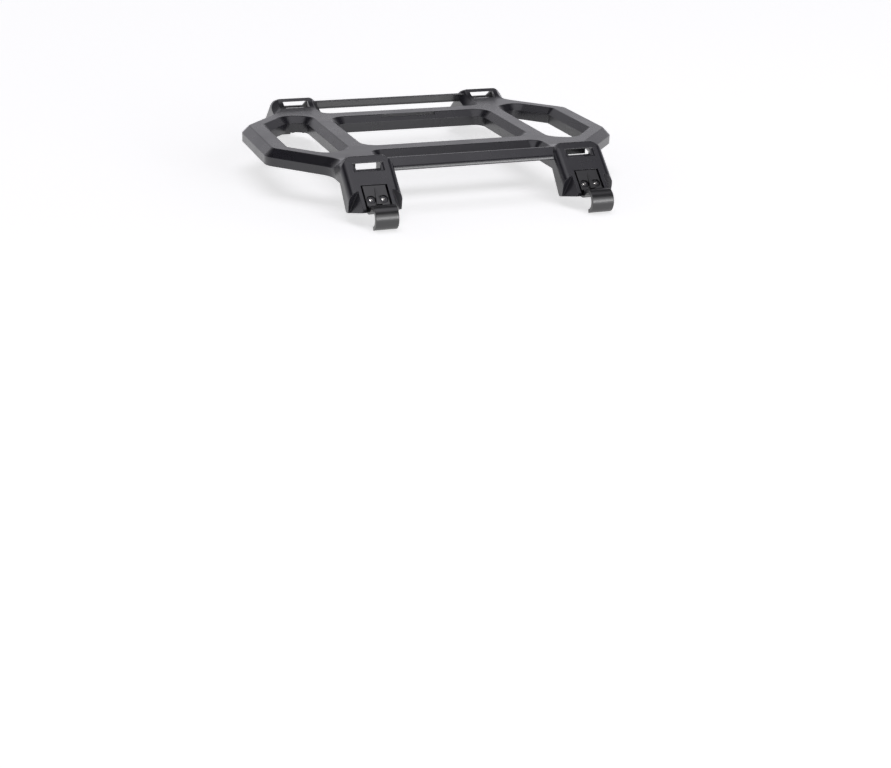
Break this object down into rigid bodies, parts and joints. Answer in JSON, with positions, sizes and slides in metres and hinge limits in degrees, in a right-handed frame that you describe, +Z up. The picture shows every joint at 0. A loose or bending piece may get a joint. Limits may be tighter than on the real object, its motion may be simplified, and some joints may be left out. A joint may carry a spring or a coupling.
{
  "type": "top case rack",
  "caption": "Flat moulded luggage rack with windows, strap slots and side bars, on legs with screwed hooks that grip the lashing loops of a top case lid.",
  "frame": {"origin": "under the middle of the rack, on the plane the four hooks stand on", "axes": "+X along the rack to its right end, +Y to the rear, +Z up; the front is -Y"},
  "size_m": [0.334, 0.361, 0.049],
  "materials": {
    "frame_nylon": "fine satin grain, black",
    "hook_nylon": "smooth, glossier than the frame, black",
    "screw_steel": "bright zinc",
    "nut_steel": "bright zinc"
  },
  "bodies": {
    "root": {"hook_nut_front_left_inner": "nut_steel", "hook_nut_front_left_outer": "nut_steel", "hook_nut_front_right_inner": "nut_steel", "hook_nut_front_right_outer": "nut_steel", "hook_nut_rear_left_inner": "nut_steel", "hook_nut_rear_left_outer": "nut_steel", "hook_nut_rear_right_inner": "nut_steel", "hook_nut_rear_right_outer": "nut_steel", "hook_screw_front_left_inner": "screw_steel", "hook_screw_front_left_outer": "screw_steel", "hook_screw_front_right_inner": "screw_steel", "hook_screw_front_right_outer": "screw_steel", "hook_screw_rear_left_inner": "screw_steel", "hook_screw_rear_left_outer": "screw_steel", "hook_screw_rear_right_inner": "screw_steel", "hook_screw_rear_right_outer": "screw_steel", "loop_hook_front_left": "hook_nylon", "loop_hook_front_right": "hook_nylon", "loop_hook_rear_left": "hook_nylon", "loop_hook_rear_right": "hook_nylon", "rack_frame": "frame_nylon"}
  },
  "joints": []
}
